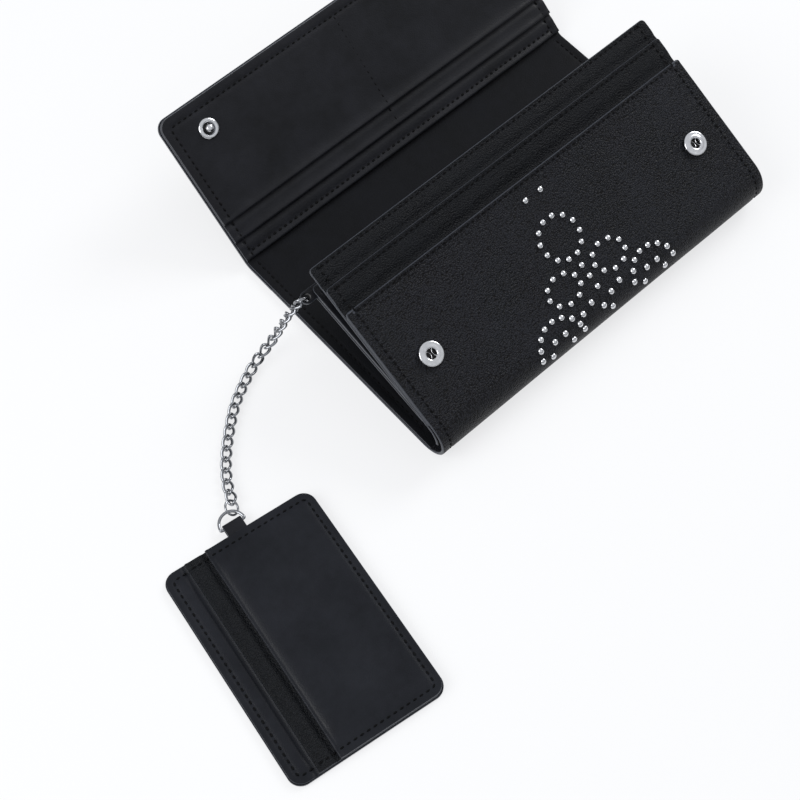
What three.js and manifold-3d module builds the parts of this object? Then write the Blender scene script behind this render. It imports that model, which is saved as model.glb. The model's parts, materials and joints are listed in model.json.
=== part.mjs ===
// Long flap wallet on its back, opened, with a card holder on a curb chain.
// Millimetres, +Z up, +X along the wallet, +Y towards the flap.
// The origin is on the table, in the middle of the back panel's outside face.
import * as THREE from 'three';
import { mergeVertices } from 'three/addons/utils/BufferGeometryUtils.js';
import Module from 'manifold-3d';

const wasm = await Module();
wasm.setup();

const rad = THREE.MathUtils.degToRad;

// Driving dimensions
const clearance = 0.3;          // air between pieces that touch
const walletLength = 190;
const coverThickness = 1.6;
const backHeight = 82;          // bottom fold's centre to the spine fold
const spineHeight = 31.8;       // spine fold to flap crease
const flapHeight = 72.5;        // flap crease to flap edge
const flapAngle = 38;           // flap above the table
const flapCornerRadius = 5.5;
const foldRadius = 12.6;        // outside of the bottom fold
const blockAngle = 24.4;        // front block above the table
const blockHeight = 79.6;       // fold centre to the tallest pocket edge
const midStep = 10.4;           // how far each pocket edge sits below the tallest
const frontStep = 22.8;
const pocketAngle = 13.5;        // coin pocket above the table
const pocketHeight = 71;
const pocketLength = 187;

const foldCentre = { y: -35.4, z: foldRadius };
const spineFoldY = foldCentre.y + backHeight;
const creaseY = spineFoldY + spineHeight;
const coverMid = coverThickness / 2;
const foldGap = 1.2;            // bare leather each side of a fold line

// Heights of the front block's layers above the fold centre, block closed
const frontCoverFloor = foldRadius - coverThickness;
const midPocketFloor = 9.2;
const midPocketThickness = 0.8;
const rearPocketFloor = 8.0;
const rearPocketThickness = 0.9;

// Heights of the flap's layers above the crease axis
const flapLayers = {
  flap_lining: { start: 2, floor: 1.1, thickness: 0.5 },
  flap_slip_pocket: { start: 2.2, floor: 1.9, thickness: 0.6 },
  flap_strip: { start: 11.8, floor: 2.8, thickness: 0.6 },
  flap_panel: { start: 20.9, floor: 3.7, thickness: 0.7 },
};
const flapFace = flapLayers.flap_panel.floor + flapLayers.flap_panel.thickness;

// Snap fasteners
const snapX = 76.5;
const snapFromCrease = 58.7;
const snapFromTop = 56.3;
const shankHole = 1.9;

// Curb chain
const wireRadius = 0.6;
const linkPlay = 0.4;           // slack in each joint of the chain, along it
const linkHalfWidth = 1.9;
const linkTwist = rad(58);
const linkCount = 21;

// Card holder
const cardWidth = 70;
const cardLength = 101;
const cardCorner = 8;
const cardPlace = { x: -185.1, y: -65.2, turn: rad(-7.8) };

const leather = (shade) => new THREE.MeshStandardMaterial({ color: shade, roughness: 0.55, metalness: 0 });
const materials = {
  pebbled: leather(0x232427),
  smooth: leather(0x1c1d20),
  grained: leather(0x202124),
  lining: leather(0x17181a),
  nickel: new THREE.MeshStandardMaterial({ color: 0xb9babc, roughness: 0.25, metalness: 1 }),
  tape: leather(0x151617),
};

const makePiece = (name, geometry, material) => {
  const piece = new THREE.Mesh(geometry, materials[material]);
  piece.name = name;
  return piece;
};

// A section drawn in Y and Z, drawn out along X and centred on X = 0
function drawOut(section, length) {
  const geometry = new THREE.ExtrudeGeometry(section, { depth: length, bevelEnabled: false, curveSegments: 10 });
  const turn = new THREE.Matrix4().makeBasis(
    new THREE.Vector3(0, 1, 0), new THREE.Vector3(0, 0, 1), new THREE.Vector3(1, 0, 0));
  return geometry.applyMatrix4(turn).translate(-length / 2, 0, 0);
}

function rectangle(yMin, yMax, zMin, zMax) {
  const shape = new THREE.Shape();
  shape.moveTo(yMin, zMin);
  shape.lineTo(yMax, zMin);
  shape.lineTo(yMax, zMax);
  shape.lineTo(yMin, zMax);
  return shape;
}

// Flat panel in X and Y with its own radius at the two near and the two far corners
function panelShape(xMin, xMax, yMin, yMax, nearRadius, farRadius) {
  const shape = new THREE.Shape();
  shape.moveTo(xMin + nearRadius, yMin);
  shape.lineTo(xMax - nearRadius, yMin);
  if (nearRadius) shape.absarc(xMax - nearRadius, yMin + nearRadius, nearRadius, -Math.PI / 2, 0);
  shape.lineTo(xMax, yMax - farRadius);
  if (farRadius) shape.absarc(xMax - farRadius, yMax - farRadius, farRadius, 0, Math.PI / 2);
  shape.lineTo(xMin + farRadius, yMax);
  if (farRadius) shape.absarc(xMin + farRadius, yMax - farRadius, farRadius, Math.PI / 2, Math.PI);
  shape.lineTo(xMin, yMin + nearRadius);
  if (nearRadius) shape.absarc(xMin + nearRadius, yMin + nearRadius, nearRadius, Math.PI, Math.PI * 1.5);
  return shape;
}

function panel(shape, floor, thickness) {
  const geometry = new THREE.ExtrudeGeometry(shape, { depth: thickness, bevelEnabled: false, curveSegments: 6 });
  return geometry.translate(0, 0, floor);
}

function punch(shape, x, y, radius) {
  const hole = new THREE.Path();
  hole.absarc(x, y, radius, 0, Math.PI * 2, true);
  shape.holes.push(hole);
}

function toSolid(geometry) {
  const bare = geometry.clone();
  bare.deleteAttribute('normal');
  bare.deleteAttribute('uv');
  const merged = mergeVertices(bare, 1e-4);
  return new wasm.Manifold(new wasm.Mesh({
    numProp: 3,
    vertProperties: new Float32Array(merged.attributes.position.array),
    triVerts: new Uint32Array(merged.index.array),
  }));
}

function toGeometry(solid) {
  const mesh = solid.getMesh();
  const geometry = new THREE.BufferGeometry();
  geometry.setAttribute('position', new THREE.BufferAttribute(mesh.vertProperties, 3));
  geometry.setIndex(new THREE.BufferAttribute(mesh.triVerts, 1));
  geometry.computeVertexNormals();
  return geometry;
}

const joined = (...geometries) => toGeometry(geometries.map(toSolid).reduce((sum, next) => sum.add(next)));
const cut = (geometry, ...tools) => toGeometry(tools.map(toSolid).reduce(
  (rest, tool) => rest.subtract(tool), toSolid(geometry)));

// Upright cylinder from one height to another
function post(x, y, zMin, zMax, radius, sides = 16) {
  const geometry = new THREE.CylinderGeometry(radius, radius, zMax - zMin, sides);
  return geometry.rotateX(Math.PI / 2).translate(x, y, (zMin + zMax) / 2);
}

// Turned piece: the profile is a list of [radius, height] that closes on itself or on the axis
function turned(profile, sides = 20) {
  const points = profile.map(([radius, height]) => new THREE.Vector2(radius, height));
  return new THREE.LatheGeometry(points, sides).rotateX(Math.PI / 2);
}

// Part of a ring about the origin in Y and Z; angles run from straight down (0) through the outside (90)
function foldSection(inner, outer, from, to, tailLength) {
  const at = (radius, angle) => [-radius * Math.sin(rad(angle)), -radius * Math.cos(rad(angle))];
  const shape = new THREE.Shape();
  const steps = 9;
  const angles = Array.from({ length: steps + 1 }, (_, i) => from + (to - from) * i / steps);
  const outside = angles.map((angle) => at(outer, angle));
  const inside = angles.map((angle) => at(inner, angle)).reverse();
  const tailSide = Math.sign(tailLength.z);
  const tail = [[tailLength.y, tailSide * outer], [tailLength.y, tailSide * inner]];
  const ring = tailSide > 0 ? [...outside, ...tail, ...inside] : [...inside, tail[1], tail[0], ...outside];
  ring.forEach(([y, z], i) => (i ? shape.lineTo(y, z) : shape.moveTo(y, z)));
  return shape;
}

// Wallet back: cover with the lower half of the bottom fold, and its lining
function makeBack() {
  const back = new THREE.Group();
  const coverLength = spineFoldY - foldGap - foldCentre.y;
  const section = foldSection(foldRadius - coverThickness, foldRadius, 0, 66, { y: coverLength, z: -1 });
  const cover = makePiece('back_cover', drawOut(section, walletLength), 'pebbled');
  cover.position.set(0, foldCentre.y, foldCentre.z);
  const liningFloor = coverThickness + clearance;
  const liningSection = rectangle(foldCentre.y, spineFoldY - 2.2, liningFloor, liningFloor + 0.8);
  const lining = makePiece('back_lining', drawOut(liningSection, walletLength - 1), 'lining');
  back.add(cover, lining);
  return back;
}

// Strip between the back and the flap, with its lining
function makeSpine() {
  const spine = new THREE.Group();
  const strip = rectangle(spineFoldY + foldGap, creaseY - foldGap, 0, coverThickness);
  const liningFloor = coverThickness + clearance;
  const lining = rectangle(spineFoldY + 2, creaseY - 2.2, liningFloor, liningFloor + 0.4);
  spine.add(
    makePiece('spine_cover', drawOut(strip, walletLength), 'pebbled'),
    makePiece('spine_lining', drawOut(lining, walletLength - 1), 'lining'));
  return spine;
}

// Flap: cover, lining, slip pocket, card strip and card panel, with the ball halves of the two snaps
function makeFlap() {
  const flap = new THREE.Group();
  flap.position.set(0, creaseY, coverMid);
  flap.rotation.x = rad(flapAngle);
  const half = walletLength / 2;
  const addLayer = (name, start, inset, floor, thickness, material) => {
    const shape = panelShape(-half + inset, half - inset, start, flapHeight - inset, 0, flapCornerRadius - inset);
    for (const side of [-1, 1]) punch(shape, side * snapX, snapFromCrease, shankHole);
    flap.add(makePiece(name, panel(shape, floor, thickness), material));
  };
  addLayer('flap_cover', foldGap, 0, -coverMid, coverThickness, 'pebbled');
  for (const [name, layer] of Object.entries(flapLayers)) {
    const material = name === 'flap_lining' ? 'lining' : 'smooth';
    addLayer(name, layer.start, 0.4, layer.floor, layer.thickness, material);
  }
  for (const [side, label] of [[-1, 'left'], [1, 'right']]) {
    const stud = makePiece(`snap_stud_${label}`, studGeometry(), 'nickel');
    stud.position.set(side * snapX, snapFromCrease, flapFace);
    const cap = makePiece(`snap_cap_${label}`, capGeometry(), 'nickel');
    cap.position.set(side * snapX, snapFromCrease, -coverMid);
    flap.add(stud, cap);
  }
  return flap;
}

// Ball half of a snap: a stepped flange, a waist and a round head; its skirt sits in the flap's hole
function studGeometry() {
  return turned([
    [0, -1.5], [1.5, -1.5], [1.5, 0.3], [4.65, 0.3], [4.65, 0.7], [4.2, 0.95], [3.0, 0.95], [2.6, 0.7],
    [1.5, 0.7], [1.4, 1.6], [1.8, 2.1], [1.7, 2.6], [1.1, 2.9], [0, 2.9],
  ]);
}

// Cap on the outside of the flap, with its shank through the layers
function capGeometry() {
  const shankTop = coverMid + flapFace - 1.5 - clearance;
  return turned([
    [0, -1.5], [3.2, -1.4], [5.2, -1.0], [5.9, -0.5], [5.9, -0.3], [1.5, -0.3], [1.5, shankTop], [0, shankTop],
  ]);
}

// Socket half of a snap: a rolled ring round a hole that takes the ball
function socketGeometry() {
  return turned([
    [0, -1.1], [1.6, -1.1], [1.6, 0.3], [5.2, 0.3], [5.4, 0.9], [5.3, 1.4], [4.7, 1.8], [2.7, 1.8],
    [2.3, 1.6], [2.3, 0], [0, 0],
  ]);
}

// Rivet flange behind the socket, inside the pocket
function rivetGeometry() {
  return turned([[0, -0.4], [4.4, -0.4], [4.4, 0], [0, 0]]);
}

// Front block: studded cover with the upper half of the bottom fold, and two pockets behind it
function makeFrontBlock() {
  const block = new THREE.Group();
  block.position.set(0, foldCentre.y, foldCentre.z);
  block.rotation.x = rad(blockAngle);
  const foldStart = 70 + blockAngle;
  const frontTop = blockHeight - frontStep;
  const coverSection = foldSection(frontCoverFloor, foldRadius, foldStart, 180, { y: frontTop, z: 1 });
  const holes = [-1, 1].map((side) =>
    post(side * snapX, blockHeight - snapFromTop, frontCoverFloor - 1, foldRadius + 1, shankHole));
  block.add(makePiece('front_cover', cut(drawOut(coverSection, walletLength), ...holes), 'pebbled'));
  const midSection = rectangle(1, blockHeight - midStep, midPocketFloor, midPocketFloor + midPocketThickness);
  block.add(makePiece('mid_pocket', drawOut(midSection, walletLength - 1), 'grained'));
  const rearSection = foldSection(rearPocketFloor, rearPocketFloor + rearPocketThickness, foldStart, 180,
    { y: blockHeight, z: 1 });
  block.add(makePiece('rear_pocket', drawOut(rearSection, walletLength), 'grained'));
  for (const [side, label] of [[-1, 'left'], [1, 'right']]) {
    const socket = makePiece(`snap_socket_${label}`, socketGeometry(), 'nickel');
    socket.position.set(side * snapX, blockHeight - snapFromTop, foldRadius);
    const rivet = makePiece(`socket_rivet_${label}`, rivetGeometry(), 'nickel');
    rivet.position.set(side * snapX, blockHeight - snapFromTop, frontCoverFloor - clearance);
    block.add(socket, rivet);
  }
  block.add(makeCoinPocket());
  return block;
}

// Coin pocket between the front block and the back, with the zip along its mouth
const pocketHinge = { y: 3.6, z: 4.4 };
const pocketWall = 1;
const pocketGap = 1.9;          // half the space between the two panels' outsides, less the wall
const zipReach = 80;

function makeCoinPocket() {
  const pocket = new THREE.Group();
  pocket.position.set(0, pocketHinge.y, pocketHinge.z);
  pocket.rotation.x = rad(pocketAngle - blockAngle);
  const half = pocketLength / 2;
  const innerFace = pocketGap - pocketWall;
  const outline = () => panelShape(-half, half, 0, pocketHeight, 0, 2);
  const front = panel(outline(), innerFace, pocketWall);
  const rearPanel = panel(outline(), -innerFace - pocketWall, pocketWall);
  const seam = 3;
  const rim = panelShape(-half, half, 0, pocketHeight - 9, 0, 0);
  const rimSolid = cut(
    panel(rim, -innerFace - 0.1, 2 * innerFace + 0.1 - clearance),
    new THREE.BoxGeometry(2 * (half - seam), pocketHeight, 6).translate(0, pocketHeight / 2 + seam, 0));
  pocket.add(
    makePiece('coin_pocket_front', front, 'smooth'),
    makePiece('coin_pocket_rear', joined(rearPanel, rimSolid), 'smooth'));
  const tapeBottom = pocketHeight - 8;
  for (const [side, label] of [[1, 'front'], [-1, 'rear']]) {
    const tape = new THREE.BoxGeometry(2 * zipReach, pocketHeight + 0.6 - tapeBottom, 0.35);
    tape.translate(0, (pocketHeight + 0.6 + tapeBottom) / 2, side * 0.38);
    pocket.add(makePiece(`zip_tape_${label}`, tape, 'tape'));
  }
  pocket.add(makeZipSlider(), makeChainTab());
  return pocket;
}

// Slider at the closed end of the zip, and the pull that hangs from its bridge
const sliderPlace = { x: 72, y: pocketHeight + 1.1 };

function makeZipSlider() {
  const slider = new THREE.Group();
  slider.position.set(sliderPlace.x, sliderPlace.y, 0);
  const body = new THREE.BoxGeometry(8, 1.6, 4.2).translate(0, 0.8, 0);
  const bridge = cut(
    new THREE.BoxGeometry(5, 2.6, 1.6).translate(0, 2.5, 0),
    new THREE.BoxGeometry(3.4, 1.35, 3).translate(0, 2.35, 0));
  slider.add(makePiece('zip_slider', joined(body, bridge), 'nickel'));
  slider.add(makePiece('zip_pull', pullGeometry(), 'nickel'));
  return slider;
}

// The pull is a flat tongue; its crossbar lies under the bridge and its window goes round one leg
function pullGeometry() {
  const shape = new THREE.Shape();
  const halfWidth = 1.8;
  const tip = 15;
  shape.moveTo(0.05, -halfWidth);
  shape.lineTo(tip, -halfWidth);
  shape.absarc(tip, 0, halfWidth, -Math.PI / 2, Math.PI / 2);
  shape.lineTo(0.05, halfWidth);
  const window = new THREE.Path([[0.95, -1.15], [0.95, 1.15], [3.9, 1.15], [3.9, -1.15]].map(
    ([x, y]) => new THREE.Vector2(x, y)));
  shape.holes.push(window);
  return panel(shape, -0.35, 0.7).rotateX(-Math.PI / 2).translate(0, 2.35, 0);
}

// Leather tab with a punched eye at the pocket's corner, for the chain
const tabEye = { x: -97.1, y: pocketHeight - 1.7, radius: 1.75 };

function makeChainTab() {
  const shape = new THREE.Shape();
  const reach = 2.8;
  shape.moveTo(-pocketLength / 2 - clearance, tabEye.y + reach);
  shape.lineTo(tabEye.x, tabEye.y + reach);
  shape.absarc(tabEye.x, tabEye.y, reach, Math.PI / 2, Math.PI * 1.5);
  shape.lineTo(-pocketLength / 2 - clearance, tabEye.y - reach);
  punch(shape, tabEye.x, tabEye.y, tabEye.radius);
  return makePiece('chain_tab', panel(shape, -0.7, 1.4), 'smooth');
}

const restHeight = 1.75;        // a link's centre above the table
const chainRoute = [
  [-100.8, 35.5, 29.4], [-104.4, 37.1, 23.8], [-108.8, 38.4, 16.0], [-112.9, 39.0, 10.4], [-118.0, 39.2, 5.9],
  [-124.4, 38.2, 2.9], [-132.6, 34.8, restHeight], [-142.2, 29.2, restHeight],
  [-150.6, 22.3, restHeight], [-157.6, 15.6, restHeight], [-163.9, 8.2, restHeight],
  [-167.9, 1.8, 1.9], [-169.6, -2.0, 2.2],
];

// Where link number i sits, the way it points, and how far it is rolled about its length
const route = new THREE.CatmullRomCurve3(chainRoute.map((point) => new THREE.Vector3(...point)), false, 'centripetal');
route.arcLengthDivisions = 2000;
const linkPitch = route.getLength() / (linkCount - 1);
const linkHalfLength = (linkPitch + linkPlay) / 2 + wireRadius;
const linkPlace = (i) => {
  const along = i / (linkCount - 1);
  const roll = rad(50) * Math.max(0, 1 - i / 8);
  return { centre: route.getPointAt(along), forward: route.getTangentAt(along), roll };
};

// Centre line of one curb link: a stadium twisted about its length
class LinkLine extends THREE.Curve {
  getPoint(t) {
    const straight = linkHalfLength - linkHalfWidth;
    const around = Math.PI * linkHalfWidth;
    const total = 4 * straight + 2 * around;
    let s = t * total;
    let x;
    let y;
    if (s < 2 * straight) {
      [x, y] = [-straight + s, -linkHalfWidth];
    } else if ((s -= 2 * straight) < around) {
      const angle = s / linkHalfWidth - Math.PI / 2;
      [x, y] = [straight + linkHalfWidth * Math.cos(angle), linkHalfWidth * Math.sin(angle)];
    } else if ((s -= around) < 2 * straight) {
      [x, y] = [straight - s, linkHalfWidth];
    } else {
      const angle = (s - 2 * straight) / linkHalfWidth + Math.PI / 2;
      [x, y] = [-straight + linkHalfWidth * Math.cos(angle), linkHalfWidth * Math.sin(angle)];
    }
    const twist = linkTwist * x / linkHalfLength;
    return new THREE.Vector3(x, y * Math.cos(twist), y * Math.sin(twist));
  }
}

// Places a piece with its length along a direction and its top side as near up as it goes
function lay(piece, place, along, roll = 0) {
  const forward = along.clone().normalize();
  const sideways = new THREE.Vector3(0, 0, 1).cross(forward).normalize();
  const top = forward.clone().cross(sideways);
  piece.quaternion.setFromRotationMatrix(new THREE.Matrix4().makeBasis(forward, sideways, top));
  piece.rotateX(roll);
  piece.position.copy(place);
}

function makeChain() {
  const chain = new THREE.Group();
  const link = new THREE.TubeGeometry(new LinkLine(), 20, wireRadius, 6, true);
  for (let i = 0; i < linkCount; i += 1) {
    const piece = makePiece(`chain_link_${String(i + 1).padStart(2, '0')}`, link.clone(), 'nickel');
    const { centre, forward, roll } = linkPlace(i);
    lay(piece, centre, forward, roll);
    chain.add(piece);
  }
  return chain;
}

// Round rings at the two ends: one through the tab's eye, one through the D ring.
// Each is placed by its middle and the direction that it faces.
const endRings = {
  jump_ring: { radius: 2.8, wire: 0.6, middle: [-99.4, 34.1, 33.3], facing: [0.39, 0.9, 0.21] },
  connector_ring: { radius: 3.1, wire: 0.5, middle: [-172.4, -5.9, 2.6], facing: [0.475, -0.43, 0.77] },
};

function makeEndRings() {
  const rings = new THREE.Group();
  for (const [name, ring] of Object.entries(endRings)) {
    const piece = makePiece(name, new THREE.TorusGeometry(ring.radius, ring.wire, 6, 18), 'nickel');
    const facing = new THREE.Vector3(...ring.facing).normalize();
    piece.quaternion.setFromUnitVectors(new THREE.Vector3(0, 0, 1), facing);
    piece.position.set(...ring.middle);
    rings.add(piece);
  }
  return rings;
}

// Card holder: back, base panel, strip and front panel, with a tab and a D ring on its short end
const cardLayers = {
  card_back: { left: 0, floor: 0, thickness: 1.2, material: 'smooth' },
  card_base_panel: { left: 0.3, floor: 1.5, thickness: 0.6, material: 'smooth' },
  card_strip: { left: 11, floor: 2.4, thickness: 0.6, material: 'grained' },
  card_front_panel: { left: 20.6, floor: 3.3, thickness: 0.8, material: 'smooth' },
};
const ringBar = { y: cardLength / 2 + 3.5, z: 2.4, halfWidth: 5.5, depth: 5.8, wire: 0.65, x: 1.2 };
const tabWidth = 7.6;

function makeCardHolder() {
  const holder = new THREE.Group();
  holder.position.set(cardPlace.x, cardPlace.y, 0);
  holder.rotation.z = cardPlace.turn;
  const halfWidth = cardWidth / 2;
  const halfLength = cardLength / 2;
  for (const [name, layer] of Object.entries(cardLayers)) {
    const inset = layer.floor ? 0.3 : 0;
    const full = panel(panelShape(-halfWidth + inset, halfWidth - inset, -halfLength + inset, halfLength - inset,
      cardCorner, cardCorner), layer.floor, layer.thickness);
    const slotSide = new THREE.BoxGeometry(layer.left, cardLength + 2, 10)
      .translate(-halfWidth + layer.left / 2, 0, 0);
    const piece = layer.left > 1 ? cut(full, slotSide) : full;
    holder.add(makePiece(name, piece, layer.material));
  }
  holder.add(makeCardTab(), makeDRing());
  return holder;
}

// Folded leather tab with the ring's bar through its loop
function makeCardTab() {
  const shape = new THREE.Shape();
  const loop = 1.75;
  shape.moveTo(cardLength / 2 + clearance, ringBar.z - loop);
  shape.lineTo(ringBar.y, ringBar.z - loop);
  shape.absarc(ringBar.y, ringBar.z, loop, -Math.PI / 2, Math.PI / 2);
  shape.lineTo(cardLength / 2 + clearance, ringBar.z + loop);
  punch(shape, ringBar.y, ringBar.z, ringBar.wire + 0.45);
  const geometry = drawOut(shape, tabWidth).translate(ringBar.x, 0, 0);
  return makePiece('card_tab', geometry, 'smooth');
}

// Centre line of the D ring: a straight bar closed by a bow
class RingLine extends THREE.Curve {
  getPoint(t) {
    const turn = t * Math.PI * 2;
    const bow = Math.max(Math.sin(turn), 0);
    const bar = Math.min(Math.sin(turn), 0);
    return new THREE.Vector3(ringBar.halfWidth * Math.cos(turn), ringBar.depth * bow + 0.35 * bar, 0);
  }
}

function makeDRing() {
  const geometry = new THREE.TubeGeometry(new RingLine(), 28, ringBar.wire, 6, true);
  const ring = makePiece('d_ring', geometry, 'nickel');
  ring.position.set(ringBar.x, ringBar.y + 0.2, ringBar.z);
  return ring;
}

const wallet = new THREE.Group();
wallet.add(makeBack(), makeSpine(), makeFlap(), makeFrontBlock(), makeChain(), makeEndRings(), makeCardHolder());

export default wallet;
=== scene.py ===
# Long black wallet, opened on its back, with a card holder on a curb chain.
import json
import math
import bpy
import numpy as np
from mathutils import Matrix, Vector, noise


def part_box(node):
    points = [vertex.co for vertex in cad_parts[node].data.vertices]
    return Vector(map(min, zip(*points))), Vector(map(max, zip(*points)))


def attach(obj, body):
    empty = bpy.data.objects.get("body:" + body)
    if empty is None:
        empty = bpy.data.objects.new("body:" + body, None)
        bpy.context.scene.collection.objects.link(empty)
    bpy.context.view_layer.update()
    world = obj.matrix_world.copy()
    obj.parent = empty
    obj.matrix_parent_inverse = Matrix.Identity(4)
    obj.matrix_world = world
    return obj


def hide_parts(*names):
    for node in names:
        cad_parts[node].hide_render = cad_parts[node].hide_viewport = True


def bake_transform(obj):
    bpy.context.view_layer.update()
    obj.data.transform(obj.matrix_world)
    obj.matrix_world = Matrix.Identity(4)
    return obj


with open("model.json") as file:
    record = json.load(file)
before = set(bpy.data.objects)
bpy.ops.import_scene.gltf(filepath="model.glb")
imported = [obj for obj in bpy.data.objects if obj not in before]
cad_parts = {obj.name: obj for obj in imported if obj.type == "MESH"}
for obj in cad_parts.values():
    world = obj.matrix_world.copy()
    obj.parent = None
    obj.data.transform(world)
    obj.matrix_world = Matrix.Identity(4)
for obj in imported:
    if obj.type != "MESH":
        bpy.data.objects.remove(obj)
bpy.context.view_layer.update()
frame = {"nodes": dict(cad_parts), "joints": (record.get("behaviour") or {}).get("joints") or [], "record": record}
mm = 0.001

# hinge lines of the frame, in mm
hinges = {joint["name"]: [1000 * part for part in joint["pos_m"]]
          for joint in frame["joints"] if "pos_m" in joint}
foldY, foldZ = hinges["block_fold"][1:]
creaseY, coverMid = hinges["flap_fold"][1:]

wallet = {
    "halfLength": 1000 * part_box("flap_cover")[1].x,
    "coverHeights": (-0.8, 0.8),
    "liningHeights": (0.8, 1.7),
    "flapHeight": 72.5,
    "flapAngle": 38,
    "cornerRadius": 5.5,
    "blockAngle": 24.4,
    "blockHeight": 79.6,      # fold centre to the tallest pocket edge
    "midStep": 10.4,
    "frontStep": 22.8,
    "pocketAngle": 13.5,
    "pocketHeight": 71,
    "seamInset": 4.3,         # from the leather's edge to its stitches
}
halfLength = wallet["halfLength"]
seamInset = wallet["seamInset"]
seamX = halfLength - seamInset


def deselectAll():
    bpy.ops.object.select_all(action="DESELECT")


def takeName(name):
    piece = bpy.context.object
    piece.name = name
    piece.data.name = name
    return piece


def settle(name):
    # names a new primitive and takes its place into its mesh
    piece = takeName(name)
    bpy.ops.object.transform_apply(location=True, rotation=True, scale=True)
    return piece


def paint(piece, *materials):
    piece.data.materials.clear()
    for material in materials:
        piece.data.materials.append(material)


def select(piece):
    deselectAll()
    piece.select_set(True)
    bpy.context.view_layer.objects.active = piece


def modify(piece, kind, **settings):
    select(piece)
    modifier = piece.modifiers.new(kind.title(), kind)
    for key, value in settings.items():
        setattr(modifier, key, value)
    bpy.ops.object.modifier_apply(modifier=modifier.name)


def trim(piece, place, facing):
    # cuts a piece square at a plane and closes the cut
    select(piece)
    bpy.ops.object.mode_set(mode="EDIT")
    bpy.ops.mesh.select_all(action="SELECT")
    bpy.ops.mesh.bisect(plane_co=place, plane_no=facing, clear_inner=True, use_fill=True)
    bpy.ops.object.mode_set(mode="OBJECT")


def reshape(piece, change):
    spots = np.empty(3 * len(piece.data.vertices))
    piece.data.vertices.foreach_get("co", spots)
    piece.data.vertices.foreach_set("co", np.ascontiguousarray(change(spots.reshape(-1, 3))).ravel())
    piece.data.update()


def smooth(piece, angle=40):
    select(piece)
    bpy.ops.object.shade_smooth_by_angle(angle=math.radians(angle))


def join(name, pieces):
    deselectAll()
    for piece in pieces:
        piece.select_set(True)
    bpy.context.view_layer.objects.active = pieces[0]
    bpy.ops.object.join()
    return takeName(name)


def repeat(name, template, places):
    # one mesh that holds a copy of the template at each place
    spots = np.array([vertex.co[:] for vertex in template.data.vertices])
    faces = [tuple(polygon.vertices) for polygon in template.data.polygons]
    allSpots = [spots @ np.array(place.to_3x3()).T + np.array(place.translation) for place in places]
    allFaces = [tuple(corner + copy * len(spots) for corner in face)
                for copy in range(len(places)) for face in faces]
    mesh = bpy.data.meshes.new(name)
    mesh.from_pydata(np.concatenate(allSpots).tolist(), [], allFaces)
    piece = bpy.data.objects.new(name, mesh)
    bpy.context.collection.objects.link(piece)
    bpy.data.objects.remove(template)
    smooth(piece, 60)
    return piece


def foldingLine(y, z, startAngle, bends=()):
    # leather is cut flat in mm, then laid along one of these lines
    # a line is at (y, z) at length 0, and each bend turns it by some degrees between two lengths
    step = 0.05
    lengths = np.arange(-150, 200, step)      # longer than any piece, both ways
    angles = np.full(lengths.shape, float(startAngle))
    for first, last, turn in bends:
        angles += turn * np.clip((lengths - first) / (last - first), 0, 1)
    angles = np.radians(angles)
    lineY = np.cumsum(np.cos(angles)) * step
    lineZ = np.cumsum(np.sin(angles)) * step
    zero = np.argmin(np.abs(lengths))
    return {"lengths": lengths, "y": lineY - lineY[zero] + y, "z": lineZ - lineZ[zero] + z, "angles": angles}


foldRadius = foldZ - coverMid
foldTurn = 180 - wallet["blockAngle"]
foldLength = foldRadius * math.radians(foldTurn)
creaseLength = creaseY - foldY
creaseBend = 1.6         # half the length of leather that the crease takes
lines = {
    "cover": foldingLine(foldY, coverMid, 0,
                         [(creaseLength - creaseBend, creaseLength + creaseBend, wallet["flapAngle"])]),
    "front": foldingLine(foldY, coverMid, 180, [(0, foldLength, -foldTurn)]),
    "flap": foldingLine(creaseY, coverMid, wallet["flapAngle"]),
    "block": foldingLine(foldY, foldZ, wallet["blockAngle"]),
    "pocket": foldingLine(*hinges["pocket_fold"][1:], wallet["pocketAngle"]),
}
rearRadius = 8.45        # the rear pocket turns inside the cover's fold
rearFoldLength = rearRadius * math.radians(66)
lines["rearPocket"] = foldingLine(foldY - rearRadius, foldZ, 90,
                                  [(0, rearFoldLength, wallet["blockAngle"] - 90)])

cardLow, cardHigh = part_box("card_back")
holder = {
    "centre": (1000 * (cardLow.x + cardHigh.x) / 2, 1000 * (cardLow.y + cardHigh.y) / 2),
    "turn": -7.8, "halfWidth": 35, "halfLength": 50.5, "corner": 5.8,
}


def bulgeOut(x, s, bulge):
    # pocket mouths stand open a little in the middle
    if not bulge:
        return 0
    amount, mouth, reach = bulge
    across = np.cos(np.clip(x / halfLength, -1, 1) * math.pi / 2) ** 1.3
    down = np.clip((s - (mouth - reach)) / reach, 0, 1)
    return amount * across * down ** 2


def layAlong(piece, line, bulge=None):
    path = lines[line]

    def change(spots):
        x, s = spots[:, 0], spots[:, 1]
        h = spots[:, 2] + bulgeOut(x, s, bulge)
        angle = np.interp(s, path["lengths"], path["angles"])
        y = np.interp(s, path["lengths"], path["y"]) - h * np.sin(angle)
        z = np.interp(s, path["lengths"], path["z"]) + h * np.cos(angle)
        return np.stack([x, y, z], 1) * mm
    reshape(piece, change)


def layOnTable(piece):
    turn = math.radians(holder["turn"])
    cos, sin = math.cos(turn), math.sin(turn)
    cx, cy = holder["centre"]

    def change(spots):
        x, y, z = spots.T
        return np.stack([cx + x * cos - y * sin, cy + x * sin + y * cos, z], 1) * mm
    reshape(piece, change)


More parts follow.
